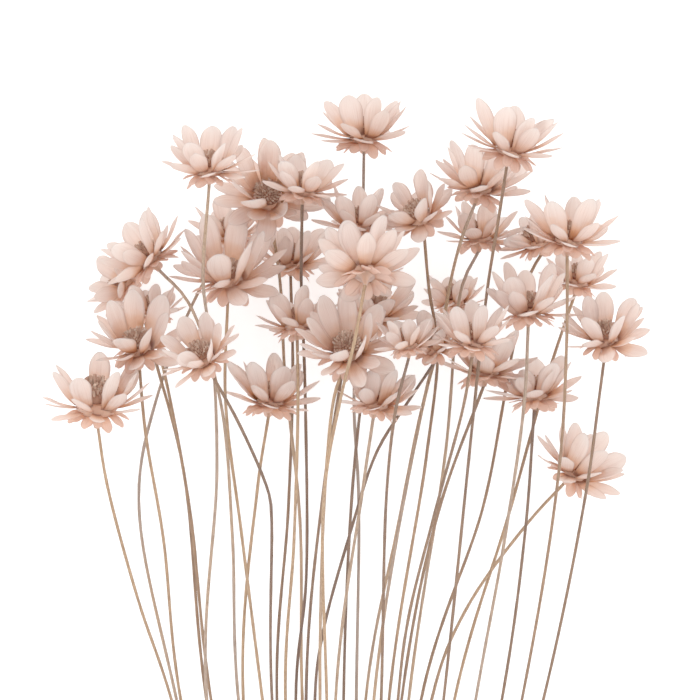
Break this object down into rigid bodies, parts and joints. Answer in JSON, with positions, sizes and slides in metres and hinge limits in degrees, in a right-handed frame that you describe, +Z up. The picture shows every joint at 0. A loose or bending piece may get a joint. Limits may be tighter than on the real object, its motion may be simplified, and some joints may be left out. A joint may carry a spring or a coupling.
{
  "type": "dried star flower bouquet",
  "caption": "Loose bunch of dried papery pink star flowers on thin bare stems, tied with twine and lying on its side.",
  "frame": {"origin": "on the surface the bunch lies on, under the middle of its bounding box", "axes": "+Y runs along the bunch from the cut ends to the flowers, +X across it, +Z up from the surface"},
  "size_m": [0.1504, 0.3822, 0.0668],
  "materials": {
    "petals": "matte",
    "stems": "matte",
    "twine": "matte"
  },
  "bodies": {
    "root": {"bloom_01": "petals", "bloom_02": "petals", "bloom_03": "petals", "bloom_04": "petals", "bloom_05": "petals", "bloom_06": "petals", "bloom_07": "petals", "bloom_08": "petals", "bloom_09": "petals", "bloom_10": "petals", "bloom_11": "petals", "bloom_12": "petals", "bloom_13": "petals", "bloom_14": "petals", "bloom_15": "petals", "bloom_16": "petals", "bloom_17": "petals", "bloom_18": "petals", "bloom_19": "petals", "bloom_20": "petals", "bloom_21": "petals", "bloom_22": "petals", "bloom_23": "petals", "bloom_24": "petals", "bloom_25": "petals", "bloom_26": "petals", "bloom_27": "petals", "bloom_28": "petals", "bloom_29": "petals", "bloom_30": "petals", "bloom_31": "petals", "bloom_32": "petals", "bloom_33": "petals", "bloom_34": "petals", "bloom_35": "petals", "bloom_36": "petals", "stems_01_36": "stems", "stems_03_02": "stems", "stems_05_33": "stems", "stems_06_23": "stems", "stems_07_35": "stems", "stems_09_21": "stems", "stems_10_27": "stems", "stems_11_28": "stems", "stems_12_26": "stems", "stems_15_18": "stems", "stems_16_19": "stems", "stems_17_31": "stems", "stems_20_30": "stems", "stems_24_14": "stems", "stems_25_22": "stems", "stems_29_13": "stems", "stems_32_08": "stems", "stems_34_04": "stems", "tie": "twine"}
  },
  "joints": []
}
